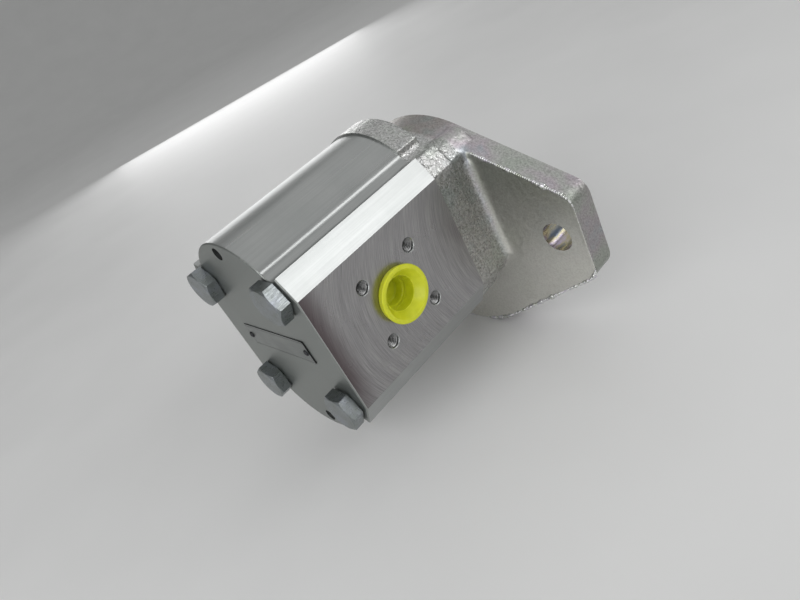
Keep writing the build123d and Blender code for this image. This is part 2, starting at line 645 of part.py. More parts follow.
# ---- Export: one file for each piece ----
pieces = {
    "rear_cover": rear_cover,
    "pump_body": pump_body,
    "front_flange": front_flange,
    "drive_gear_shaft": drive_gear_shaft,
    "shaft_key": shaft_key,
    "driven_gear_shaft": driven_gear_shaft,
    "rear_bearing_block": rear_bearing_block,
    "front_bearing_block": front_bearing_block,
    "rear_bearing_bushes": rear_bearing_bushes,
    "front_bearing_bushes": front_bearing_bushes,
    "rear_pressure_seal": rear_pressure_seal,
    "front_pressure_seal": front_pressure_seal,
    "rear_backup_ring": rear_backup_ring,
    "front_backup_ring": front_backup_ring,
    "rear_body_seal": rear_body_seal,
    "front_body_seal": front_body_seal,
    "shaft_seal_case": shaft_seal_case,
    "shaft_seal_lip": shaft_seal_lip,
    "shaft_seal_spring": shaft_seal_spring,
    "seal_retaining_ring": seal_retaining_ring,
    "cover_bolts": cover_bolts,
    "rear_dowel_pins": rear_dowel_pins,
    "front_dowel_pins": front_dowel_pins,
    "nameplate": nameplate,
    "nameplate_rivets": nameplate_rivets,
    "suction_port_plug": suction_port_plug,
    "pressure_port_plug": pressure_port_plug,
}

os.makedirs("parts", exist_ok=True)
for name, piece in pieces.items():
    piece.part.label = name
    export_step(piece.part, f"parts/{name}.step")
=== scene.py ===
import json
import math
import random

import bmesh
import bpy
from mathutils import Euler, Matrix, Vector, noise
from mathutils.kdtree import KDTree

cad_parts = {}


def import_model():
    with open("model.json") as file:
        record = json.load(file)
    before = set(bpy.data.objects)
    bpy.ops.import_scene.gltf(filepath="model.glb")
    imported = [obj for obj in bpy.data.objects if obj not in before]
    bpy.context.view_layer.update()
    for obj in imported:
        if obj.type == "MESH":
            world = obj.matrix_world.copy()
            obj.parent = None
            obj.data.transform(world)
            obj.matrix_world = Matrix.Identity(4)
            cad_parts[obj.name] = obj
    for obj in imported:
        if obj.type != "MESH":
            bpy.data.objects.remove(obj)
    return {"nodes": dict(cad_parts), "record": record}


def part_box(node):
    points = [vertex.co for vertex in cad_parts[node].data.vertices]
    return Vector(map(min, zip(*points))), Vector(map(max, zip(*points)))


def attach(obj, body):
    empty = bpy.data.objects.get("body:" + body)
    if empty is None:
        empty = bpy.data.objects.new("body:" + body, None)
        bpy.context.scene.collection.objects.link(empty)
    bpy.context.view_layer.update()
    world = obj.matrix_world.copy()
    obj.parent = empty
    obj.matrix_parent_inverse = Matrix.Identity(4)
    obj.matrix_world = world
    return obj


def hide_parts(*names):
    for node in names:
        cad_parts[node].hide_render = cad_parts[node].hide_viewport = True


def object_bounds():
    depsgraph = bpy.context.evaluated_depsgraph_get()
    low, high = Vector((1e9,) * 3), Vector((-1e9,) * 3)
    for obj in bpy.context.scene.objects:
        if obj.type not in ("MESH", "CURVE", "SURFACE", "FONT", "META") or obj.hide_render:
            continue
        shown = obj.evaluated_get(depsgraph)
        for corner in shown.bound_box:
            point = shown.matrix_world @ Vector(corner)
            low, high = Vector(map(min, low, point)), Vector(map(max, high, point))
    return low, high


# Looks of a hydraulic gear pump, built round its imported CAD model.
# Lengths are metres in the model's frame: the origin is the pilot's centre on the mounting
# face, +Y runs out along the drive shaft, +X out of the suction port, and +Z from the drive
# gear to the driven gear.

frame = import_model()
cad_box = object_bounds()
MM = 0.001

# ---- Places taken from the frame ----
COVER_REAR_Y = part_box("rear_cover")[0].y
JOINT_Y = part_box("pump_body")[0].y
flange_low, flange_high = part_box("front_flange")
MOUNTS = {mount["name"]: mount for mount in frame["record"]["mounts"]}
SUCTION_PORT = Vector(MOUNTS["suction_port_screws"]["pos_m"])
PRESSURE_PORT = Vector(MOUNTS["pressure_port_screws"]["pos_m"])
EAR_HOLE_X = MOUNTS["flange_bolts"]["dims"]["spacing_x_mm"] / 2 * MM
EAR_HOLE_RADIUS = MOUNTS["flange_bolts"]["dims"]["hole_r_mm"] * MM
SCREW_HOLE_RADIUS = MOUNTS["suction_port_screws"]["dims"]["hole_r_mm"] * MM

# ---- Places inside the nodes, which the frame doesn't state ----
PLATE_BACK = -12.5 * MM
ROUGH_SKIN_FRONT = -14.0 * MM
NECK_HALF_WIDTH = 44 * MM
SPOT_FACE_RADIUS = 9 * MM
SHAFT_BORE_ZONE = 19 * MM
PLUG_BARRELS = {"suction_port_plug": 9.9 * MM, "pressure_port_plug": 7.4 * MM}


# ---- Material helper ----
class Paint:
    """One procedural material, with short calls for the nodes that it is made of."""

    def __init__(self, name, **settings):
        self.material = bpy.data.materials.new(name)
        self.material.use_nodes = True
        self.tree = self.material.node_tree
        self.shader = self.tree.nodes["Principled BSDF"]
        self.place = self.node("ShaderNodeTexCoord").outputs["Object"]
        for socket, value in settings.items():
            self.shader.inputs[socket.replace("_", " ")].default_value = value

    def node(self, kind, inputs=None, **attributes):
        """A new node with its attributes set and its inputs set or linked."""
        made = self.tree.nodes.new(kind)
        for name, value in attributes.items():
            setattr(made, name, value)
        for name, value in (inputs or {}).items():
            if isinstance(value, bpy.types.NodeSocket):
                self.tree.links.new(value, made.inputs[name])
            else:
                made.inputs[name].default_value = value
        return made

    def set(self, socket, value):
        """Links a value to one of the shader's sockets."""
        self.tree.links.new(value, self.shader.inputs[socket])

    def math(self, operation, first, second=0.0):
        """Result of one math node."""
        return self.node("ShaderNodeMath", {0: first, 1: second}, operation=operation).outputs[0]

    def axis(self, letter):
        """One coordinate of the place on the object, in metres."""
        return self.node("ShaderNodeSeparateXYZ", {0: self.place}).outputs[letter]

    def stretch(self, x, y, z):
        """The place on the object, scaled by its own factor along each axis."""
        return self.node("ShaderNodeMapping", {"Vector": self.place, "Scale": (x, y, z)}).outputs[0]

    def noise(self, vector, scale, detail=3.0, roughness=0.5):
        """Noise that runs from 0 to 1."""
        inputs = {"Vector": vector, "Scale": scale, "Detail": detail, "Roughness": roughness}
        return self.node("ShaderNodeTexNoise", inputs).outputs["Fac"]

    def fade(self, value, start, end, low=0.0, high=1.0):
        """Runs smoothly from low where value is start to high where it is end."""
        inputs = {"Value": value, "From Min": start, "From Max": end, "To Min": low, "To Max": high}
        ramp = self.node("ShaderNodeMapRange", inputs, interpolation_type="SMOOTHSTEP")
        return ramp.outputs["Result"]

    def colours(self, value, *stops):
        """Colour ramp through the given (position, (r, g, b)) stops."""
        ramp = self.node("ShaderNodeValToRGB", {"Fac": value})
        elements = ramp.color_ramp.elements
        while len(elements) < len(stops):
            elements.new(0.5)
        for element, (position, colour) in zip(elements, stops):
            element.position = position
            element.color = (*colour, 1.0)
        return ramp.outputs["Color"]

    def mix(self, factor, first, second, blend="MIX"):
        """Mixes two colours."""
        made = self.node("ShaderNodeMix", data_type="RGBA", blend_type=blend)
        for index, value in ((0, factor), (6, first), (7, second)):
            if isinstance(value, bpy.types.NodeSocket):
                self.tree.links.new(value, made.inputs[index])
            else:
                made.inputs[index].default_value = value if index == 0 else (*value, 1.0)
        return made.outputs[2]

    def bump(self, height, depth, strength=1.0, normal=None):
        """Normal of a height that runs from 0 to depth metres."""
        inputs = {"Height": height, "Distance": depth, "Strength": strength}
        if normal is not None:
            inputs["Normal"] = normal
        return self.node("ShaderNodeBump", inputs).outputs["Normal"]


# ---- Materials ----
def drawn_aluminium():
    """Extruded sides of the body: satin, with die lines along the shaft axis."""
    paint = Paint("drawn_aluminium", Metallic=1.0)
    lines = paint.noise(paint.stretch(1, 0.010, 1), 2200, 4, 0.6)
    wide_lines = paint.noise(paint.stretch(1, 0.02, 1), 260, 2)
    stains = paint.noise(paint.place, 45, 4, 0.6)
    tone = paint.colours(lines, (0.25, (0.40, 0.41, 0.41)), (0.75, (0.47, 0.48, 0.48)))
    cloud = paint.colours(stains, (0.3, (0.90, 0.91, 0.90)), (0.7, (1.0, 1.0, 0.99)))
    paint.set("Base Color", paint.mix(1.0, tone, cloud, "MULTIPLY"))
    paint.set("Roughness", paint.fade(wide_lines, 0.3, 0.7, 0.27, 0.33))
    paint.set("Normal", paint.bump(lines, 0.006 * MM, 0.3))
    return paint.material


def milled_face():
    """Port faces: arcs left by a face mill that was fed along the body."""
    cutter_radius = 57 * MM
    cutter_height = 11 * MM
    paint = Paint("milled_face", Metallic=1.0)
    height = paint.math("SUBTRACT", paint.axis("Z"), cutter_height)
    reach = paint.math("SUBTRACT", cutter_radius**2, paint.math("POWER", height, 2.0))
    feed = paint.math("ADD", paint.axis("Y"), paint.math("SQRT", reach))
    arcs = paint.node("ShaderNodeCombineXYZ", {"X": feed, "Y": paint.math("MULTIPLY", height, 0.03)})
    fine = paint.noise(arcs.outputs[0], 2300, 4, 0.7)
    broad = paint.noise(arcs.outputs[0], 260, 2)
    cloud = paint.noise(paint.place, 60, 3)
    rings = paint.node("ShaderNodeTexWave", {"Vector": arcs.outputs[0], "Scale": 260, "Distortion": 1.5})
    tone = paint.colours(fine, (0.25, (0.24, 0.238, 0.240)), (0.75, (0.46, 0.456, 0.458)))
    shade = paint.colours(broad, (0.3, (0.88, 0.87, 0.88)), (0.7, (1.0, 0.99, 0.99)))
    both = paint.mix(1.0, tone, shade, "MULTIPLY")
    # Painted dark reflection: the base colour turns dark near the cover, most of all high up.
    painted_dark_near_cover = paint.fade(paint.axis("Y"), COVER_REAR_Y, JOINT_Y + 3 * MM, 0.88, 0.0)
    high_up = paint.fade(paint.axis("Z"), -18 * MM, 6 * MM, 0.35, 1.0)
    edge = paint.math("MULTIPLY", painted_dark_near_cover, high_up)
    paint.set("Base Color", paint.mix(edge, both, (0.10, 0.075, 0.08)))
    paint.set("Roughness", paint.fade(cloud, 0.3, 0.7, 0.26, 0.34))
    grooves = paint.bump(rings.outputs["Fac"], 0.004 * MM, 0.7)
    paint.set("Normal", paint.bump(fine, 0.012 * MM, 0.7, grooves))
    return paint.material


def satin_cover():
    """Rear cover: fine matte aluminium with a grey-green cast."""
    paint = Paint("satin_cover", Metallic=1.0)
    grain = paint.noise(paint.place, 2600, 3, 0.6)
    cloud = paint.noise(paint.place, 38, 4, 0.55)
    tone = paint.colours(cloud, (0.3, (0.28, 0.298, 0.285)), (0.7, (0.33, 0.343, 0.33)))
    speck = paint.colours(grain, (0.3, (0.93, 0.93, 0.93)), (0.7, (1.0, 1.0, 1.0)))
    paint.set("Base Color", paint.mix(1.0, tone, speck, "MULTIPLY"))
    paint.set("Roughness", paint.fade(cloud, 0.3, 0.7, 0.36, 0.46))
    paint.set("Normal", paint.bump(grain, 0.015 * MM, 0.6))
    return paint.material


def cast_flange():
    """Plated casting: grainy skin on neck and shoulder, satin ear backs, and faint hues. Painted shade
    darkens faces that point along X, the crown of the rim and the upper rear faces; painted light brightens
    the lower rear faces.
    """
    paint = Paint("cast_flange", Metallic=1.0)
    hue = paint.noise(paint.place, 42, 3, 0.6)
    tint = paint.colours(
        hue,
        (0.32, (0.46, 0.50, 0.44)),
        (0.44, (0.51, 0.52, 0.49)),
        (0.56, (0.55, 0.49, 0.53)),
        (0.68, (0.47, 0.52, 0.56)),
    )
    grain = paint.noise(paint.place, 1150, 4, 0.65)
    lumps = paint.noise(paint.place, 420, 3, 0.55)
    rough_skin = paint.fade(paint.axis("Y"), -16 * MM, -13 * MM, 1.0, 0.30)
    pits = paint.colours(
        grain,
        (0.36, (0.62, 0.63, 0.61)),
        (0.52, (1.05, 1.05, 1.05)),
        (0.66, (1.35, 1.36, 1.35)),
    )
    normal = paint.node("ShaderNodeNewGeometry").outputs["Normal"]
    facing = paint.node("ShaderNodeSeparateXYZ", {0: normal})
    # Painted shade: faces that point along X get a darker skin colour.
    sideways_painted_shade = paint.fade(paint.math("ABSOLUTE", facing.outputs["X"]), 0.85, 0.97)
    skin = paint.mix(sideways_painted_shade, (0.50, 0.515, 0.50), (0.36, 0.37, 0.35))
    pitted = paint.mix(1.0, paint.mix(0.25, skin, tint), pits, "MULTIPLY")
    # Painted light and shade on rear-facing faces: lighter low down, darker high up.
    rearward = paint.fade(facing.outputs["Y"], -0.5, -0.9)
    height = paint.fade(paint.axis("Z"), -18 * MM, 36 * MM)
    back = paint.mix(height, (0.90, 0.88, 0.82), (0.36, 0.37, 0.32))
    # Painted shade on the crown of the plate's rim: darker near the middle at the top. Towards the ear tips
    # the rim colour turns a darker grey.
    from_middle = paint.math("ABSOLUTE", paint.axis("X"))
    crown_painted_shade = paint.math(
        "MULTIPLY",
        paint.fade(from_middle, 31 * MM, 22 * MM),
        paint.fade(paint.axis("Z"), 30 * MM, 45 * MM),
    )
    tip = paint.fade(from_middle, 82 * MM, 86 * MM)
    rim = paint.mix(crown_painted_shade, (1.06, 1.04, 1.07), (0.56, 0.55, 0.49))
    rim = paint.mix(tip, rim, (0.66, 0.66, 0.65))
    rim = paint.mix(0.45, rim, paint.mix(1.0, rim, pits, "MULTIPLY"))
    plain = paint.mix(rearward, paint.mix(1.0, tint, rim, "MULTIPLY"), back)
    paint.set("Base Color", paint.mix(rough_skin, plain, pitted))
    ear_gloss = paint.fade(lumps, 0.3, 0.7, 0.42, 0.54)
    skin_gloss = paint.fade(lumps, 0.3, 0.7, 0.22, 0.36)
    gloss = paint.node("ShaderNodeMix", {0: rough_skin, 2: ear_gloss, 3: skin_gloss})
    paint.set("Roughness", gloss.outputs[0])
    rim_depth = paint.math("SUBTRACT", 0.65, paint.math("MULTIPLY", rearward, 0.35))
    depth = paint.math("MAXIMUM", rough_skin, rim_depth)
    low = paint.bump(lumps, 0.50 * MM, paint.math("MULTIPLY", depth, 0.8))
    paint.set("Normal", paint.bump(grain, 0.15 * MM, depth, low))
    return paint.material


def bright_zinc():
    """Thick shiny zinc that gathers on a casting's edges."""
    paint = Paint("bright_zinc", Metallic=1.0)
    hue = paint.noise(paint.place, 240, 3, 0.6)
    tone = paint.colours(
        hue,
        (0.35, (0.50, 0.52, 0.46)),
        (0.5, (0.72, 0.73, 0.72)),
        (0.65, (0.66, 0.62, 0.70)),
    )
    paint.set("Base Color", tone)
    paint.set("Roughness", paint.fade(hue, 0.3, 0.7, 0.20, 0.36))
    paint.set("Normal", paint.bump(paint.noise(paint.place, 1300, 3), 0.10 * MM, 0.8))
    return paint.material


def tapped_hole_painted_shade():
    """Threads of the screw holes, coloured darker than the port face: painted shade inside the holes."""
    paint = Paint("tapped_hole_painted_shade", Metallic=1.0)
    cloud = paint.noise(paint.place, 900, 3, 0.6)
    paint.set("Base Color", paint.colours(cloud, (0.3, (0.22, 0.22, 0.22)), (0.7, (0.38, 0.38, 0.38))))
    paint.set("Roughness", paint.fade(cloud, 0.3, 0.7, 0.26, 0.42))
    return paint.material


def plated_bore():
    """Walls of the ear holes, with the gold and violet hues of passivated zinc."""
    paint = Paint("plated_bore", Metallic=1.0)
    hue = paint.noise(paint.stretch(1, 0.3, 1), 170, 3, 0.6)
    tone = paint.colours(
        hue,
        (0.32, (0.20, 0.15, 0.24)),
        (0.45, (0.50, 0.44, 0.55)),
        (0.55, (0.46, 0.42, 0.28)),
        (0.68, (0.22, 0.26, 0.34)),
    )
    paint.set("Base Color", tone)
    paint.set("Roughness", paint.fade(hue, 0.3, 0.7, 0.16, 0.30))
    paint.set("Normal", paint.bump(paint.noise(paint.place, 700, 3), 0.05 * MM, 0.6))
    return paint.material


def turned_face():
    """Machined faces of the flange: fine rings round the shaft axis."""
    paint = Paint("turned_face", Metallic=1.0)
    flat = paint.node("ShaderNodeCombineXYZ", {"X": paint.axis("X"), "Y": paint.axis("Z")})
    radius = paint.node("ShaderNodeVectorMath", {0: flat.outputs[0]}, operation="LENGTH").outputs["Value"]
    cuts = paint.noise(paint.node("ShaderNodeCombineXYZ", {"X": radius}).outputs[0], 2600, 3, 0.6)
    cloud = paint.noise(paint.place, 60, 3)
    tone = paint.colours(cuts, (0.3, (0.42, 0.43, 0.42)), (0.7, (0.54, 0.55, 0.54)))
    paint.set("Base Color", tone)
    paint.set("Roughness", paint.fade(cloud, 0.3, 0.7, 0.24, 0.36))
    paint.set("Normal", paint.bump(cuts, 0.012 * MM, 0.8))
    return paint.material


def plated_bolt():
    """Bright zinc plate with a blue cast and thin scratches."""
    paint = Paint("plated_bolt", Metallic=1.0)
    cloud = paint.noise(paint.place, 190, 4, 0.6)
    tone = paint.colours(
        cloud,
        (0.3, (0.23, 0.25, 0.24)),
        (0.55, (0.28, 0.30, 0.31)),
        (0.75, (0.31, 0.33, 0.38)),
    )
    scratches = paint.noise(paint.stretch(1, 0.15, 1), 1900, 4, 0.7)
    paint.set("Base Color", tone)
    paint.set("Roughness", paint.fade(scratches, 0.35, 0.65, 0.26, 0.42))
    paint.set("Normal", paint.bump(paint.noise(paint.place, 1100, 4, 0.6), 0.07 * MM, 0.7))
    return paint.material


def ground_steel():
    """Ground shaft steel, with rings round the shaft axis."""
    paint = Paint("ground_steel", Metallic=1.0)
    rings = paint.noise(paint.stretch(0.02, 1, 0.02), 2400, 3, 0.6)
    cloud = paint.noise(paint.place, 80, 3)
    tone = paint.colours(rings, (0.3, (0.46, 0.46, 0.47)), (0.7, (0.60, 0.60, 0.61)))
    haze = paint.colours(cloud, (0.3, (0.90, 0.90, 0.92)), (0.7, (1.0, 1.0, 1.0)))
    paint.set("Base Color", paint.mix(1.0, tone, haze, "MULTIPLY"))
    paint.set("Roughness", paint.fade(cloud, 0.3, 0.7, 0.16, 0.28))
    paint.set("Normal", paint.bump(rings, 0.006 * MM, 0.7))
    return paint.material


def dark_steel_and_painted_shade():
    """Blackened spring steel and the phosphated seal case; the same near black also paints shade on the
    nameplate's edges and sunk line and on the rivet heads.
    """
    paint = Paint("dark_steel_and_painted_shade", Metallic=0.85)
    cloud = paint.noise(paint.place, 700, 4, 0.6)
    tone = paint.colours(cloud, (0.3, (0.025, 0.025, 0.028)), (0.7, (0.065, 0.065, 0.07)))
    paint.set("Base Color", tone)
    paint.set("Roughness", paint.fade(cloud, 0.3, 0.7, 0.34, 0.52))
    paint.set("Normal", paint.bump(cloud, 0.02 * MM, 0.6))
    return paint.material


def black_rubber():
    """Moulded nitrile rubber."""
    paint = Paint("black_rubber")
    grain = paint.noise(paint.place, 1300, 4, 0.6)
    paint.set("Base Color", paint.colours(grain, (0.3, (0.014, 0.014, 0.015)), (0.7, (0.032, 0.032, 0.033))))
    paint.set("Roughness", paint.fade(grain, 0.3, 0.7, 0.48, 0.66))
    paint.set("Normal", paint.bump(grain, 0.03 * MM, 0.6))
    return paint.material


def bearing_bronze():
    """Bronze of the plain bushes."""
    paint = Paint("bearing_bronze", Metallic=1.0)
    grain = paint.noise(paint.place, 1500, 4, 0.6)
    paint.set("Base Color", paint.colours(grain, (0.3, (0.46, 0.31, 0.14)), (0.7, (0.62, 0.45, 0.22))))
    paint.set("Roughness", paint.fade(grain, 0.3, 0.7, 0.30, 0.45))
    paint.set("Normal", paint.bump(grain, 0.02 * MM, 0.6))
    return paint.material


def natural_nylon():
    """Unfilled nylon of the backup rings."""
    paint = Paint("natural_nylon", Subsurface_Weight=0.15, Subsurface_Scale=0.002)
    grain = paint.noise(paint.place, 800, 4, 0.6)
    paint.set("Base Color", paint.colours(grain, (0.3, (0.66, 0.63, 0.54)), (0.7, (0.76, 0.74, 0.66))))
    paint.set("Roughness", paint.fade(grain, 0.3, 0.7, 0.42, 0.55))
    paint.set("Normal", paint.bump(grain, 0.02 * MM, 0.6))
    return paint.material


def plug_plastic():
    """Translucent yellow polyethylene of the transit plugs."""
    paint = Paint(
        "plug_plastic",
        Subsurface_Weight=0.25,
        Subsurface_Scale=0.004,
        Subsurface_Radius=(1.0, 0.9, 0.15),
        IOR=1.5,
    )
    cloud = paint.noise(paint.place, 260, 3, 0.5)
    grain = paint.noise(paint.place, 2200, 3, 0.6)
    tone = paint.colours(cloud, (0.3, (0.62, 0.66, 0.015)), (0.7, (0.72, 0.75, 0.030)))
    paint.set("Base Color", tone)
    paint.set("Roughness", paint.fade(grain, 0.3, 0.7, 0.30, 0.42))
    paint.set("Normal", paint.bump(grain, 0.015 * MM, 0.6))
    return paint.material


def nameplate_metal():
    """Blank plate: satin, rubbed along its length."""
    paint = Paint("nameplate_metal", Metallic=1.0)
    rubs = paint.noise(paint.stretch(0.05, 1, 1), 2400, 3, 0.6)
    cloud = paint.noise(paint.place, 90, 3)
    tone = paint.colours(rubs, (0.3, (0.24, 0.255, 0.245)), (0.7, (0.29, 0.30, 0.295)))
    paint.set("Base Color", tone)
    paint.set("Roughness", paint.fade(cloud, 0.3, 0.7, 0.34, 0.44))
    paint.set("Normal", paint.bump(rubs, 0.01 * MM, 0.6))
    return paint.material


def floor_paint():
    """Plain pale floor with the slightest unevenness."""
    paint = Paint("floor_paint", Specular_IOR_Level=0.25)
    cloud = paint.noise(paint.place, 9, 3)
    paint.set("Base Color", paint.colours(cloud, (0.3, (0.79, 0.79, 0.79)), (0.7, (0.82, 0.82, 0.82))))
    paint.set("Roughness", paint.fade(cloud, 0.3, 0.7, 0.55, 0.65))
    return paint.material


DRAWN = drawn_aluminium()
MILLED = milled_face()
COVER = satin_cover()
CAST = cast_flange()
BEAD = bright_zinc()
BORE = plated_bore()
TURNED = turned_face()
TAPPED_PAINTED_SHADE = tapped_hole_painted_shade()
BOLT = plated_bolt()
STEEL = ground_steel()
DARK_STEEL_AND_PAINTED_SHADE = dark_steel_and_painted_shade()
RUBBER = black_rubber()
BRONZE = bearing_bronze()
NYLON = natural_nylon()
PLUG = plug_plastic()
NAMEPLATE = nameplate_metal()

NODE_MATERIALS = {
    "rear_cover": COVER,
    "pump_body": DRAWN,
    "front_flange": CAST,
    "drive_gear_shaft": STEEL,
    "shaft_key": STEEL,
    "driven_gear_shaft": STEEL,
    "rear_bearing_block": TURNED,
    "front_bearing_block": TURNED,
    "rear_bearing_bushes": BRONZE,
    "front_bearing_bushes": BRONZE,
    "rear_pressure_seal": RUBBER,
    "front_pressure_seal": RUBBER,
    "rear_backup_ring": NYLON,
    "front_backup_ring": NYLON,
    "rear_body_seal": RUBBER,
    "front_body_seal": RUBBER,
    "shaft_seal_case": DARK_STEEL_AND_PAINTED_SHADE,
    "shaft_seal_lip": RUBBER,
    "shaft_seal_spring": STEEL,
    "seal_retaining_ring": DARK_STEEL_AND_PAINTED_SHADE,
    "cover_bolts": BOLT,
    "rear_dowel_pins": DARK_STEEL_AND_PAINTED_SHADE,
    "front_dowel_pins": STEEL,
    "nameplate": NAMEPLATE,
    "nameplate_rivets": DARK_STEEL_AND_PAINTED_SHADE,
    "suction_port_plug": PLUG,
    "pressure_port_plug": PLUG,
}


def coat(obj, *materials):
    """Gives an object these material slots and no others."""
    if obj.data.materials:
        obj.data.materials.clear()
    for material in materials:
        obj.data.materials.append(material)


for node, material in NODE_MATERIALS.items():
    coat(frame["nodes"][node], material)


# ---- Pieces ----
def add_piece(name, mesh, body, node, *materials):
    """Puts a finished mesh in the scene, standing for a CAD node and riding on its body."""
    piece = bpy.data.objects.new(name, mesh)
    bpy.context.scene.collection.objects.link(piece)
    coat(piece, *materials)
    shading = piece.modifiers.new("flat_faces_stay_flat", "WEIGHTED_NORMAL")
    shading.keep_sharp = True
    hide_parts(node)
    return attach(piece, body)


def smooth(mesh, angle=32):
    """Smooth shading that still breaks at edges sharper than the angle."""
    mesh.shade_smooth()
    mesh.set_sharp_from_angle(angle=math.radians(angle))


def welded(node):
    """bmesh of a CAD node with shared vertices and its flat faces merged."""
    source = bmesh.new()
    source.from_mesh(frame["nodes"][node].data)
    for layer in list(source.loops.layers.uv):
        source.loops.layers.uv.remove(layer)
    bmesh.ops.remove_doubles(source, verts=source.verts, dist=0.002 * MM)
    bmesh.ops.dissolve_limit(
        source, angle_limit=math.radians(0.4), verts=source.verts, edges=source.edges
    )
    return source


def softened(node, width, angle=28):
    """bmesh of a CAD node whose sharp edges, but for those at a joint, get a small round."""
    source = welded(node)
    sharp = [
        edge
        for edge in source.edges
        if edge.is_manifold and edge.calc_face_angle() > math.radians(angle) and not at_joint(edge)
    ]
    bmesh.ops.bevel(
        source, geom=sharp, offset=width, segments=2, profile=0.5, affect="EDGES", clamp_overlap=True
    )
    return source


def at_joint(edge):
    """True for an edge on the joint between cover and body, where the two lie flush."""
    return all(abs(vert.co.y - JOINT_Y) < 0.01 * MM for vert in edge.verts)


def finished(source, name):
    """Mesh of a bmesh, smooth shaded."""
    mesh = bpy.data.meshes.new(name)
    source.to_mesh(mesh)
    source.free()
    smooth(mesh)
    return mesh


def add_thread(target, mouth, inward, slot):
    """Adds the helical thread of one screw hole, as a sleeve close inside the hole's wall."""
    pitch = 1.0 * MM
    length = 12.5 * MM
    segments = 24
    lead_in = 0.4 * MM
    root_radius = SCREW_HOLE_RADIUS - 0.03 * MM
    crest_radius = SCREW_HOLE_RADIUS - 0.5 * MM
    profile = ((0.0, root_radius), (0.38, crest_radius), (0.62, crest_radius), (1.0, root_radius))
    rows = []
    for step in range(int(length / pitch) * segments):
        angle = 2 * math.pi * step / segments
        row = []
        for share, radius in profile:
            depth = lead_in + pitch * (step / segments + share)
            across = Vector((0, radius * math.cos(angle), radius * math.sin(angle)))
            row.append(target.verts.new(mouth + across + inward * depth))
        rows.append(row)
    for row, following in zip(rows, rows[1:]):
        for index in range(len(profile) - 1):
            corners = (row[index], row[index + 1], following[index + 1], following[index])
            target.faces.new(corners).material_index = slot


def body_piece():
    """Body with drawn sides, milled port faces, broken edges and threaded screw holes."""
    drawn_slot, milled_slot, tapped_slot = range(3)
    source = softened("pump_body", 0.12 * MM)
    for face in source.faces:
        face.material_index = milled_slot if on_port_face(face) else drawn_slot
    # The thread faces take the tapped-hole material, whose darker colour is painted shade.
    for port, mount in ((SUCTION_PORT, "suction_port_screws"), (PRESSURE_PORT, "pressure_port_screws")):
        inward = Vector((-math.copysign(1, port.x), 0, 0))
        reach = MOUNTS[mount]["dims"]["pcd_mm"] / 2 * MM
        for quarter in range(4):
            angle = math.pi / 4 + quarter * math.pi / 2
            across = Vector((0, reach * math.cos(angle), reach * math.sin(angle)))
            add_thread(source, port + across, inward, tapped_slot)
    mesh = finished(source, "body_block")
    return add_piece("body_block", mesh, "housing", "pump_body", DRAWN, MILLED, TAPPED_PAINTED_SHADE)


def on_port_face(face):
    """True for a face of the two milled port sides."""
    flat = abs(face.normal.x) > 0.999
    return flat and abs(face.calc_center_median().x) > SUCTION_PORT.x - 0.1 * MM


def cover_piece():
    """Rear cover: satin outer face, milled port sides and drawn outline."""
    drawn_slot, milled_slot = 1, 2
    source = softened("rear_cover", 0.15 * MM)
    for face in source.faces:
        if on_port_face(face):
            face.material_index = milled_slot
        elif face.normal.y > -0.35:
            face.material_index = drawn_slot
    mesh = finished(source, "rear_cover_plate")
    return add_piece("rear_cover_plate", mesh, "housing", "rear_cover", COVER, DRAWN, MILLED)


def simple_piece(name, node, body, width):
    """A CAD node with its edges broken."""
    return add_piece(name, finished(softened(node, width), name), body, node, NODE_MATERIALS[node])


def cast_share(place):
    """How far a place on the flange is from any machined face: 0 on one and 1 well away."""
    ear_hole = math.hypot(abs(place.x) - EAR_HOLE_X, place.z) - EAR_HOLE_RADIUS
    shaft_bore = math.hypot(place.x, place.z) - SHAFT_BORE_ZONE
    gap = min(-place.y - 0.3 * MM, place.y - flange_low.y - 0.2 * MM, ear_hole - 0.5 * MM, shaft_bore)
    return max(0.0, min(1.0, gap / (1.2 * MM)))


def back_rim_points(source):
    """Places along the sharp edge round the back of the flange plate, but for the neck's foot."""
    points = []
    for edge in source.edges:
        first, second = (vert.co for vert in edge.verts)
        at_back = abs(first.y - PLATE_BACK) < 0.01 * MM and abs(second.y - PLATE_BACK) < 0.01 * MM
        if not (at_back and edge.is_manifold and edge.is_convex and edge.calc_face_angle() > 1.0):
            continue
        steps = max(1, int((second - first).length / (0.5 * MM)))
        points += [first.lerp(second, step / steps) for step in range(steps + 1)]
    return [
        point
        for point in points
        if math.hypot(abs(point.x) - EAR_HOLE_X, point.z) > SPOT_FACE_RADIUS
        and (abs(point.x) > NECK_HALF_WIDTH or point.z < 0)
    ]


def applied(piece):
    """Mesh of a piece with its modifiers worked in, and the modifiers taken off."""
    seen = piece.evaluated_get(bpy.context.evaluated_depsgraph_get())
    mesh = bpy.data.meshes.new_from_object(seen)
    piece.modifiers.clear()
    return mesh


def remeshed(piece):
    """Gives a piece even small faces that still follow its sharp edges."""
    remesh = piece.modifiers.new("remesh", "REMESH")
    remesh.mode = "SHARP"
    remesh.octree_depth = 8
    remesh.scale = 0.9
    remesh.use_remove_disconnected = False
    piece.data = applied(piece)


def round_cast_edges(piece):
    """Rounds the edges of the casting, most of all at the foot of the ears."""
    cast = piece.vertex_groups.new(name="cast")
    root = piece.vertex_groups.new(name="root")
    for vert in piece.data.vertices:
        share = cast_share(vert.co)
        cast.add([vert.index], share, "REPLACE")
        near_root = abs(vert.co.y - PLATE_BACK) < 6 * MM and 38 * MM < abs(vert.co.x) < 49 * MM
        root.add([vert.index], share if near_root else 0.0, "REPLACE")
    for group, rounds in ((cast, 5), (root, 20)):
        soften = piece.modifiers.new(group.name, "SMOOTH")
        soften.factor = 0.5
        soften.iterations = rounds
        soften.vertex_group = group.name
    piece.data = applied(piece)


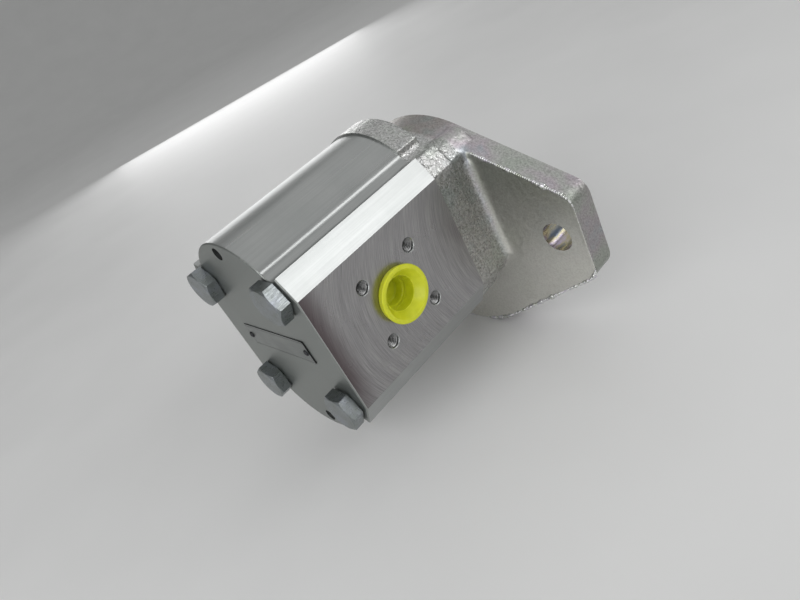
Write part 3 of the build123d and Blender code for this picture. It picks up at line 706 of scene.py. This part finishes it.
def roughen_skin(piece, rim_points):
    """Sinks the cast skin unevenly and draws the plate's back edge out, within the node's box."""
    skin_depth = 0.16 * MM
    lip_width = 1.5 * MM
    lip_height = 0.25 * MM
    rim = KDTree(len(rim_points))
    for index, point in enumerate(rim_points):
        rim.insert(point, index)
    rim.balance()
    moved = []
    for vert in piece.data.vertices:
        place = vert.co
        share = cast_share(place)
        rough = 1.3 if place.y < ROUGH_SKIN_FRONT else 0.55
        lumps = noise.noise(place * 420) * 0.5 + noise.noise(place * 1100) * 0.35
        offset = -vert.normal * (0.5 + 0.5 * lumps) * skin_depth * rough * share
        reach = rim.find(place)[2]
        if reach < lip_width:
            offset += Vector((0, -lip_height * (1 - reach / lip_width), 0))
        moved.append(place + offset)
    for vert, place in zip(piece.data.vertices, moved):
        vert.co = [max(low, min(high, value)) for low, value, high in zip(flange_low, place, flange_high)]


def casting_piece():
    """Flange as cast: soft uneven edges and skin, with the machined faces kept true."""
    turned_slot, bore_slot = 1, 2
    source = welded("front_flange")
    rim_points = back_rim_points(source)
    mesh = bpy.data.meshes.new("flange_casting")
    source.to_mesh(mesh)
    source.free()
    piece = add_piece("flange_casting", mesh, "housing", "front_flange", CAST, TURNED, BORE)
    piece.modifiers.clear()
    remeshed(piece)
    round_cast_edges(piece)
    roughen_skin(piece, rim_points)
    for face in piece.data.polygons:
        machined = all(cast_share(piece.data.vertices[index].co) < 0.5 for index in face.vertices)
        from_hole = math.hypot(abs(face.center.x) - EAR_HOLE_X, face.center.z)
        if from_hole < EAR_HOLE_RADIUS + 0.1 * MM:
            face.material_index = bore_slot
        elif machined and (from_hole > SPOT_FACE_RADIUS or face.center.y > -0.5 * MM):
            face.material_index = turned_slot
    smooth(piece.data, 40)
    add_piece("flange_edge_beads", edge_beads(rim_points), "housing", "front_flange", BEAD)
    return piece


def edge_beads(rim_points):
    """Beads of zinc that gather along the back edge of the plate, all within the node's box."""
    most_stretch = 1.3
    sunk_in = 0.30 * MM
    chance = random.Random(7)
    source = bmesh.new()
    for point in rim_points[::2]:
        swell = max(0.0, 0.5 + 0.9 * noise.noise(point * 170))
        radius = (0.38 + 0.70 * swell * swell + chance.uniform(0, 0.40)) * MM
        room = min(flange_high.x - abs(point.x), point.z - flange_low.z)
        radius = min(radius, (room + 0.25 * MM) / most_stretch)
        outward = Vector((point.x, 0, point.z)).normalized()
        centre = point + Vector((0, 0.1 * MM, 0)) - outward * sunk_in
        along_x = chance.uniform(0.9, most_stretch)
        along_z = chance.uniform(0.9, most_stretch)
        stand = Matrix.Translation(centre) @ Matrix.Diagonal((along_x, 1.0, along_z, 1))
        bmesh.ops.create_icosphere(source, subdivisions=2, radius=radius, matrix=stand)
    return finished(source, "flange_edge_beads")


def lathe(profile, centre, side, segments=96):
    """bmesh of a cup turned about the X axis, from (height out of the port, radius) pairs."""
    source = bmesh.new()
    ring = [source.verts.new(centre + Vector((side * height, radius, 0))) for height, radius in profile]
    edges = [source.edges.new(pair) for pair in zip(ring, ring[1:])]
    bmesh.ops.spin(
        source,
        geom=ring + edges,
        axis=(1, 0, 0),
        cent=centre,
        steps=segments,
        angle=2 * math.pi,
    )
    bmesh.ops.remove_doubles(source, verts=source.verts, dist=0.01 * MM)
    bmesh.ops.recalc_face_normals(source, faces=source.faces)
    return source


def arc(height, radius, size, start, end, steps=5):
    """Points on a small round of a profile, between two angles in degrees."""
    points = []
    for step in range(steps + 1):
        angle = math.radians(start + (end - start) * step / steps)
        points.append((height + size * math.sin(angle), radius + size * math.cos(angle)))
    return points


def plug_piece(name, node, body, port):
    """Moulded plug: rounded lip, conical mouth, and a fine ring at each end of the bore."""
    low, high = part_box(node)
    side = math.copysign(1, port.x)
    cup = (high.z - low.z) / 2
    lip = (high.x - port.x) if side > 0 else (port.x - low.x)
    depth = (high.x - low.x) - lip
    barrel = PLUG_BARRELS[node]
    wall = 2.2 * MM
    bore = barrel - wall
    ring = 0.30 * MM
    outer_round = 0.55 * MM
    inner_round = 0.5 * MM
    profile = [
        (-depth, 0),
        (-depth, barrel - 1.2 * MM),
        (1.2 * MM - depth, barrel),
        (0.02 * MM, barrel),
        (0.02 * MM, cup - 0.9 * MM),
        (0.25 * MM, cup - 0.65 * MM),
        *arc(lip - outer_round, cup - outer_round, outer_round, 0, 90),
        *arc(lip - inner_round, cup - wall + inner_round, inner_round, 90, 160),
        (-0.4 * MM, bore + 0.10 * MM),
        *arc(-0.65 * MM, bore + 0.02 * MM, ring, 90, 270, 4),
        (-1.0 * MM, bore + 0.05 * MM),
        (-5.7 * MM, bore - 0.05 * MM),
        *arc(-6.0 * MM, bore - 0.12 * MM, ring, 90, 270, 4),
        (-6.3 * MM, bore - 1.2 * MM),
        (-6.6 * MM, bore - 1.45 * MM),
        (1.7 * MM - depth, bore - 1.7 * MM),
        (1.2 * MM - depth, bore - 2.2 * MM),
        (1.2 * MM - depth, 1.1 * MM),
        (1.5 * MM - depth, 0.8 * MM),
        (1.5 * MM - depth, 0),
    ]
    source = lathe(profile, port, side)
    for vert in source.verts:
        away = vert.co - port
        shrink = 1 - 0.006 * (0.5 + 0.5 * noise.noise(vert.co * 90))
        vert.co = port + Vector((away.x, away.y * shrink, away.z * shrink))
    return add_piece(name, finished(source, name), body, node, PLUG)


def nameplate_piece():
    """Blank plate with a fine sunk line round it, painted shade in near black on its side faces and in the
    line, and one end sprung up.
    """
    plate_slot, painted_shade_slot = 0, 1
    sprung_end = 5 * MM
    low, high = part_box("nameplate")
    source = bmesh.new()
    stand = Matrix.Translation((low + high) / 2) @ Matrix.Diagonal((*(high - low), 1))
    bmesh.ops.create_cube(source, size=1.0, matrix=stand)
    front = [face for face in source.faces if face.normal.y < -0.9]
    for margin, depth in ((1.2, 0), (0.05, -0.14), (0.18, 0), (0.05, 0.14)):
        bmesh.ops.inset_region(source, faces=front, thickness=margin * MM, depth=depth * MM)
    corners = [
        edge for edge in source.edges if abs(edge.verts[0].co.y - edge.verts[1].co.y) > 0.3 * MM
    ]
    bmesh.ops.bevel(source, geom=corners, offset=0.8 * MM, segments=4, profile=0.5, affect="EDGES")
    # Painted shade: the plate's side faces and the sunk front faces take the near-black material.
    for face in source.faces:
        centre = face.calc_center_median()
        at_end = centre.x < low.x + MM or centre.x > high.x - MM
        side_face_painted_shade = abs(face.normal.y) < 0.1 and (at_end or abs(face.normal.z) > 0.9)
        sunk = face.normal.y < -0.9 and centre.y > low.y + 0.1 * MM
        face.material_index = painted_shade_slot if side_face_painted_shade or sunk else plate_slot
    bmesh.ops.bisect_plane(
        source,
        geom=source.verts[:] + source.edges[:] + source.faces[:],
        plane_co=(high.x - sprung_end, 0, 0),
        plane_no=(1, 0, 0),
    )
    for vert in source.verts:
        if vert.co.y < high.y - 0.2 * MM:
            vert.co.y += 0.15 * MM
        if vert.co.x > high.x - sprung_end + 0.1 * MM:
            vert.co.y -= 0.18 * MM
    return add_piece(
        "blank_plate", finished(source, "blank_plate"), "housing", "nameplate", NAMEPLATE, DARK_STEEL_AND_PAINTED_SHADE
    )


def rivet_piece():
    """Domed heads of the two drive rivets, each with a centre dimple."""
    low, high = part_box("nameplate_rivets")
    radius = (high.z - low.z) / 2
    rise = high.y - low.y
    profile = [
        (-0.2 * MM, radius),
        (0.3 * rise, radius),
        (0.7 * rise, 0.86 * radius),
        (0.96 * rise, 0.5 * radius),
        (rise, 0.3 * radius),
        (0.7 * rise, 0.15 * radius),
        (0.6 * rise, 0),
    ]
    source = bmesh.new()
    for x in (low.x + radius, high.x - radius):
        head = lathe(profile, Vector((0, 0, 0)), 1, 32)
        stand = Matrix.Translation((x, high.y, (low.z + high.z) / 2)) @ Matrix.Rotation(-math.pi / 2, 4, "Z")
        head.transform(stand)
        part = bpy.data.meshes.new("rivet_head")
        head.to_mesh(part)
        head.free()
        source.from_mesh(part)
        bpy.data.meshes.remove(part)
    # The heads are coloured near black: painted shade, for small heads that stand dark in shade.
    return add_piece("rivet_heads", finished(source, "rivet_heads"), "housing", "nameplate_rivets", DARK_STEEL_AND_PAINTED_SHADE)


body_piece()
cover_piece()
casting_piece()
simple_piece("hex_bolts", "cover_bolts", "housing", 0.22 * MM)
simple_piece("drive_shaft", "drive_gear_shaft", "drive", 0.15 * MM)
simple_piece("key", "shaft_key", "drive", 0.30 * MM)
plug_piece("suction_plug_cup", "suction_port_plug", "suction_plug", SUCTION_PORT)
plug_piece("pressure_plug_cup", "pressure_port_plug", "pressure_plug", PRESSURE_PORT)
nameplate_piece()
rivet_piece()


# ---- Stage, lights and camera ----
def floor():
    """Pale round floor whose far edge turns up into a low wall."""
    rings = 24
    segments = 96
    flat_radius = 2.2
    cove_radius = 1.6
    source = bmesh.new()
    profile = [(flat_radius * share, 0.0) for share in (0.0, 0.25, 0.5, 0.75, 1.0)]
    for step in range(1, rings + 1):
        turn = math.pi / 2 * step / rings
        profile.append((flat_radius + cove_radius * math.sin(turn), cove_radius * (1 - math.cos(turn))))
    edge = [source.verts.new((radius, 0, height)) for radius, height in profile]
    for first, second in zip(edge, edge[1:]):
        source.edges.new((first, second))
    bmesh.ops.spin(
        source,
        geom=source.verts[:] + source.edges[:],
        axis=(0, 0, 1),
        cent=(0, 0, 0),
        steps=segments,
        angle=2 * math.pi,
    )
    bmesh.ops.remove_doubles(source, verts=source.verts, dist=MM)
    mesh = bpy.data.meshes.new("floor")
    source.to_mesh(mesh)
    source.free()
    mesh.shade_smooth()
    piece = bpy.data.objects.new("floor", mesh)
    bpy.context.scene.collection.objects.link(piece)
    piece.location = (0, (cad_box[0].y + cad_box[1].y) / 2, cad_box[0].z)
    coat(piece, floor_paint())


def lamp(name, direction, distance, width, height, power):
    """Soft light, width by height, that faces the pump from a direction."""
    centre = (cad_box[0] + cad_box[1]) / 2
    light = bpy.data.lights.new(name, "AREA")
    light.shape = "RECTANGLE"
    light.size = width
    light.size_y = height
    light.energy = power
    holder = bpy.data.objects.new(name, light)
    holder.visible_camera = False
    bpy.context.scene.collection.objects.link(holder)
    towards = Vector(direction).normalized()
    holder.location = centre + towards * distance
    holder.rotation_mode = "QUATERNION"
    holder.rotation_quaternion = towards.to_track_quat("Z", "Y")


def world(colour, strength):
    """Even pale surroundings."""
    made = bpy.data.worlds.new("studio")
    bpy.context.scene.world = made
    made.use_nodes = True
    background = made.node_tree.nodes["Background"]
    background.inputs["Color"].default_value = (*colour, 1.0)
    background.inputs["Strength"].default_value = strength


def camera(place, azimuth, elevation, roll, lens):
    """Camera looking along azimuth and elevation, then rolled about its own line of sight."""
    data = bpy.data.cameras.new("camera")
    data.lens = lens
    data.sensor_width = 36
    data.clip_start = 0.01
    holder = bpy.data.objects.new("camera", data)
    bpy.context.scene.collection.objects.link(holder)
    turn = Euler((math.radians(90 - elevation), 0, math.radians(azimuth)), "XYZ")
    spin = Matrix.Rotation(math.radians(roll), 4, "Z")
    holder.matrix_world = Matrix.Translation(place) @ turn.to_matrix().to_4x4() @ spin
    bpy.context.scene.camera = holder


floor()
world((0.80, 0.81, 0.80), 0.36)
lamp("strip_light", (0.78, 0.34, 0.52), 1.0, 0.80, 0.36, 2.4)
lamp("overhead_light", (-0.10, 0.35, 0.93), 1.6, 2.0, 2.0, 4.4)
lamp("far_light", (-0.88, 0.42, 0.16), 1.2, 0.6, 0.5, 1.5)
lamp("front_light", (0.30, -0.82, 0.48), 1.3, 1.2, 1.2, 8)
bpy.context.scene.view_settings.view_transform = "Standard"
camera((0.24371, -0.19601, 0.14447), azimuth=59.743, elevation=29.129, roll=-29.124, lens=29.157)
